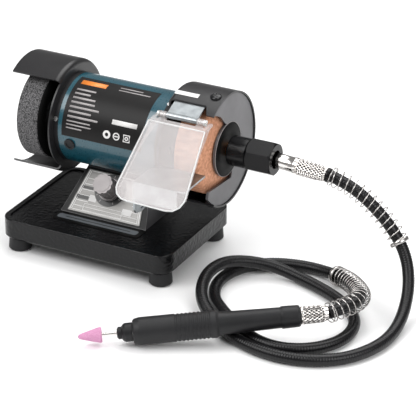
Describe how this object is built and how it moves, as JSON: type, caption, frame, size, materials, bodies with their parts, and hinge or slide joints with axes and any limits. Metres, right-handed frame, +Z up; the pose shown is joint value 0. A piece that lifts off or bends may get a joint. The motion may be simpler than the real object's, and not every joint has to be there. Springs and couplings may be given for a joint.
{
  "type": "bench grinder",
  "caption": "Small bench grinder with grinding and polishing wheels, guards, clear eye shield, tool rest, speed knob and a coiled flexible shaft with handpiece.",
  "frame": {"origin": "on the bench surface under the centre of the base", "axes": "+X along the spindle towards the flexible shaft, +Y to the back, +Z up"},
  "size_m": [0.3511, 0.2243, 0.1408],
  "materials": {
    "base_black": "gloss",
    "black_plastic": "satin",
    "black_gloss": "gloss",
    "rubber_black": "matte",
    "screw_steel": "satin",
    "panel_silver": "brushed",
    "panel_black": "matte",
    "blue_grey": "brushed",
    "teal": "gloss",
    "label_black": "satin",
    "label_white": "matte",
    "core_steel": "matte",
    "copper": "satin",
    "brass": "satin",
    "carbon": "matte",
    "board_green": "matte",
    "abrasive_grey": "rough",
    "wheel_orange": "rough",
    "shield_clear": "gloss",
    "zinc": "satin",
    "chrome_steel": "polished",
    "knurled_steel": "knurled",
    "hose_black": "satin",
    "grip_black": "matte",
    "stone_pink": "rough",
    "knob_silver": "satin"
  },
  "bodies": {
    "frame": {"base_casting": "base_black", "bottom_cover": "black_plastic", "rubber_feet": "rubber_black", "base_screws": "screw_steel", "deck_plate": "blue_grey", "cable_gland": "rubber_black", "pedestal": "black_gloss", "control_panel": "panel_silver", "dial_disc": "panel_black", "potentiometer": "black_plastic", "control_board": "board_green", "motor_housing": "teal", "end_bell_left": "black_plastic", "end_bell_right": "black_plastic", "bell_screws": "screw_steel", "motor_label": "label_black", "field_stator": "core_steel", "field_windings": "copper", "brush_holders": "brass", "brush_caps": "black_plastic", "carbon_brushes": "carbon", "bearing_left": "chrome_steel", "bearing_right": "chrome_steel", "guard_left": "black_gloss", "guard_right": "black_gloss", "guard_screws": "screw_steel", "inspection_tag": "label_white", "shield_bracket": "zinc", "hinge_bolt": "screw_steel", "rest_bolt": "screw_steel", "flex_bracket": "black_gloss", "flex_bracket_screws": "black_gloss", "spindle_bushing": "brass", "flex_collar": "black_gloss", "coupling_nut": "black_gloss", "front_ferrule": "chrome_steel", "front_sleeve": "knurled_steel", "flex_hose": "hose_black", "front_spring": "chrome_steel", "rear_spring": "chrome_steel", "handpiece_grip": "grip_black", "handpiece_body": "black_plastic", "rear_sleeve": "knurled_steel", "handpiece_bearing": "chrome_steel"},
    "rotor": {"rotor_shaft": "chrome_steel", "armature_core": "core_steel", "armature_windings": "copper", "commutator": "copper", "cooling_fan": "black_plastic", "grinding_wheel": "abrasive_grey", "polishing_wheel": "wheel_orange", "wheel_flanges": "zinc", "spindle_nuts": "screw_steel"},
    "knob": {"speed_knob": "knob_silver"},
    "shield": {"eye_shield": "shield_clear"},
    "rest": {"tool_rest": "zinc"},
    "spindle": {"handpiece_spindle": "screw_steel", "collet_nut": "black_plastic", "mandrel": "chrome_steel", "mounted_stone": "stone_pink"}
  },
  "joints": [
    {"name": "rotor_spin", "type": "hinge", "parent": "frame", "child": "rotor", "pos_m": [0, 0.0205, 0.0926], "axis": [1, 0, 0], "continuous": true},
    {"name": "mandrel_spin", "type": "hinge", "parent": "frame", "child": "spindle", "pos_m": [0.092, -0.137, 0.0112], "axis": [-0.8672, -0.4891, -0.094], "continuous": true},
    {"name": "speed_knob_turn", "type": "hinge", "parent": "frame", "child": "knob", "pos_m": [-0.0033, -0.00232, 0.04545], "axis": [0, -0.7325, 0.6807], "range_deg": [0, 300]},
    {"name": "eye_shield_tilt", "type": "hinge", "parent": "frame", "child": "shield", "pos_m": [0.065, -0.01, 0.1256], "axis": [-1, 0, 0], "range_deg": [0, 55]},
    {"name": "tool_rest_slide", "type": "slide", "parent": "frame", "child": "rest", "axis": [0, -1, 0], "range_m": [0, 0.005]}
  ],
  "couplings": [
    {"joint": "mandrel_spin", "follows": "rotor_spin", "ratio": 1}
  ]
}
